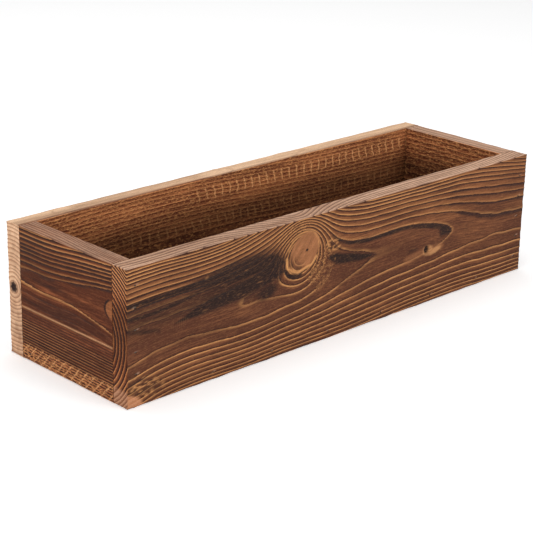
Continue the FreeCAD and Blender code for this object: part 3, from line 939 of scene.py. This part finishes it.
def left_face(w):
    """The left end's face: a cathedral of grain over a split, straight grain below, a rough-sawn foot."""
    u, v, below = w.u, w.v, w.v < SPLIT_UP
    above, lines, foot = smooth(v, 66, 80), smooth(v, 35, 31), smooth(v, 15, 12)
    split = smooth(np.abs(v - SPLIT_UP), 0.95, 0.4)
    knot = patch(u, v, (16, 71), (8.2, 7.4))
    knot_edge = smooth(np.abs(knot - 1.02), 0.16, 0.05) * smooth(u, 17, 21)
    dusk = 0.42 * spot(u, v, (70, 50), (65, 8)) + 0.4 * spot(u, v, (95, 70), (35, 6), fades=(1.2, 0.4))
    gold_line = (v < 68) * (v > SPLIT_UP) * smooth(np.abs(w.ring - 1), 0.4, 0.15)
    upper_gold = np.where(v > 68, 0.35 + 0.55 * smooth(v, 94, 100), 0)
    gold = np.where(below, 0.4 * lines, upper_gold) + 0.8 * gold_line
    return dict(
        burn=most(dusk, 0.85 * knot_edge, 0.35 * above * smooth(u, 60, 110)),
        late=np.where(below, 1.4, 0.7 + 1.2 * above),
        ink=np.where(below, 0.3 + 0.65 * lines, 0.15 + 0.75 * above + 0.5 * gold_line),
        crest=np.clip(gold, 0, 1),
        warm=0.16 + 0.5 * foot + 0.45 * smooth(v, 92, 100) + 0.2 * ripple(73, u / 30, v / 3.5),
        gold=0.75 * split, sanded=0.3 * split, dent=0.25 * split, heart=0.65 * smooth(knot, 1.0, 0.88),
        fuzz=0.05 + 0.95 * foot, tone_and_shading=1 + 0.25 * foot, saw=0.7 * foot, saw_at=(u + v) / 9, bristle=0.3 * foot,
        red=0.06,
    )


def left_looks(w):
    """The left end: its outer face, its torn inside and its worn rim."""
    outer, inner = {**PLAIN, **left_face(w)}, {**PLAIN, **inner_looks(w, 72, ((93, 4, 0.3),))}
    looks = {name: inner[name] * (1 - w.outer) + outer[name] * w.outer for name in PLAIN}
    below = w.v < SPLIT_UP
    straight = 60 + (SPLIT_UP - w.v) / STRAIGHT_PACE + 0.12 * ripple(71, w.u / 50, w.v / 8) + 0.004 * w.u
    rim_wear = w.top * (0.45 + 0.1 * ripple(74, w.u / 9, w.deep / 4))
    return {
        **looks,
        "ring": np.where(below, straight, w.ring),
        "pace": np.where(below, STRAIGHT_PACE, w.pace),
        "sanded": most(looks["sanded"], rim_wear),
        "relief": 1 - 0.9 * w.top,
    }


def right_looks(w):
    """The right end: broken reddish fibre inside, and plain scorched grain outside."""
    inner = inner_looks(w, 81, ((88, 16, 0.25),))
    return {
        **inner,
        "saw_at": w.v / 4.0 + 0.06 * w.u + 0.3 * ripple(82, w.u / 20, w.v / 20),
        "sanded": 0.7 * w.top,
        "crest": inner["crest"] + 0.4 * w.outer,
        "ink": inner["ink"] + 0.3 * w.outer,
        "late": 0.8 + 0.2 * w.outer,
        "warm": 0.3,
    }


def floor_looks(w):
    """The floor board: dull, a little charred, and darker round its drains."""
    x, y = w.u + OUTER_LOW[0], w.v + OUTER_LOW[1]
    near_drain = np.minimum.reduce([np.hypot(x - drain[0], y - drain[1]) for drain in DRAINS])
    return dict(crest=0.4, ink=0.6, late=0.8, warm=0.35 + 0.2 * ripple(91, w.u / 50, w.v / 12),
                fuzz=0.5 * w.inner, tone_and_shading=1 + 0.35 * w.inner, burn=0.5 * smooth(near_drain, 9, 5))


# --- The box ---

front = Board("front_board", thick_axis=1, outer_high=False, steps=(2.6, 0.85, 1.8), pits=LONG_PITS,
              refine=[(0, *(OUTER_LOW[0] + end for end in ends)) for ends in FINE_STRETCHES])
back = Board("back_board", thick_axis=1, outer_high=True, steps=(2.2, 0.9, 1.2), pits=LONG_PITS)
left = Board("left_end_board", thick_axis=0, outer_high=False, steps=(1.0, 0.8, 1.2), pits=END_PITS)
right = Board("right_end_board", thick_axis=0, outer_high=True, steps=(1.0, 0.8, 1.2), pits=END_PITS)
floor = Board("floor_board", thick_axis=2, outer_high=False, steps=(2.4, 1.2, 1.2), drains=DRAINS,
              eased=False)

end_wood, floor_wood = wood_material("torched_ends", END_WOOD), wood_material("torched_floor", FLOOR_WOOD)
finish_board(front, FRONT_LOG, wood_material("torched_front", WOOD), front_looks)
finish_board(back, BACK_LOG, wood_material("torched_back", BACK_WOOD), back_looks)
finish_board(left, LEFT_LOG, end_wood, left_looks)
finish_board(right, RIGHT_LOG, end_wood, right_looks)
finish_board(floor, FLOOR_LOG, floor_wood, floor_looks, relief=0.2)

steel = steel_material()
for name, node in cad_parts.items():
    if "brads" in name:
        for place in node.material_slots:
            place.material = steel

# --- Stage ---

CAMERA_AZIMUTH, CAMERA_ELEVATION, CAMERA_ROLL = radians(-44.1228), radians(20.0683), radians(1.1876)
CAMERA_PLACE = Vector((-0.8726, -0.8787, 0.4880))
LENS, SENSOR = 108.81, 36
FLOOR_RADIUS, FLOOR_GLOW, WORLD_LIGHT = 4, 0.35, 0.22
WHITE, PAPER = (1, 1, 1, 1), light(250, 250, 250)


def make_camera():
    """The camera at the photograph's place, turned a degree about its own line of sight."""
    data = bpy.data.cameras.new("camera")
    data.lens, data.sensor_width = LENS, SENSOR
    camera = add_object("camera", data)
    turns = ((CAMERA_AZIMUTH, "Z"), (radians(90) - CAMERA_ELEVATION, "X"), (CAMERA_ROLL, "Z"))
    stand = Matrix.Translation(CAMERA_PLACE)
    for angle, axis in turns:
        stand = stand @ Matrix.Rotation(angle, 4, axis)
    camera.matrix_world = stand
    bpy.context.scene.camera = camera


def make_floor():
    """The studio floor: a wide pale disc that glows a little, so that it stays nearly white."""
    mesh = bpy.data.meshes.new("studio_floor")
    shape = bmesh.new()
    bmesh.ops.create_circle(shape, cap_ends=True, segments=64, radius=FLOOR_RADIUS)
    shape.to_mesh(mesh)
    shape.free()
    disc = add_object("studio_floor", mesh)
    paper = Shader("studio_paper").finish({
        "Base Color": PAPER, "Roughness": 0.9, "Emission Color": WHITE, "Emission Strength": FLOOR_GLOW})
    mesh.materials.append(paper)


def make_light(name, place, target, size, power):
    """A soft square light in metres and watts, turned to a target."""
    data = bpy.data.lights.new(name, "AREA")
    data.shape, data.size, data.energy = "SQUARE", size, power
    lamp = add_object(name, data)
    lamp.location = place
    lamp.rotation_euler = (Vector(target) - Vector(place)).to_track_quat("-Z", "Y").to_euler()


def make_world():
    """A dim white surrounding."""
    world = bpy.data.worlds.new("studio")
    bpy.context.scene.world = world
    world.use_nodes = True
    background = world.node_tree.nodes["Background"]
    background.inputs["Color"].default_value = WHITE
    background.inputs["Strength"].default_value = WORLD_LIGHT


make_camera()
make_floor()
make_light("key", place=(0.4, -2.0, 1.25), target=(0, 0, 0.05), size=1.0, power=17)
make_light("fill", place=(-1.7, -0.5, 0.8), target=(0, 0, 0.05), size=1.2, power=10)
make_light("top", place=(0.0, 0.5, 2.2), target=(0, 0.1, 0), size=2.4, power=30)
make_world()
bpy.context.scene.view_settings.view_transform = "Standard"
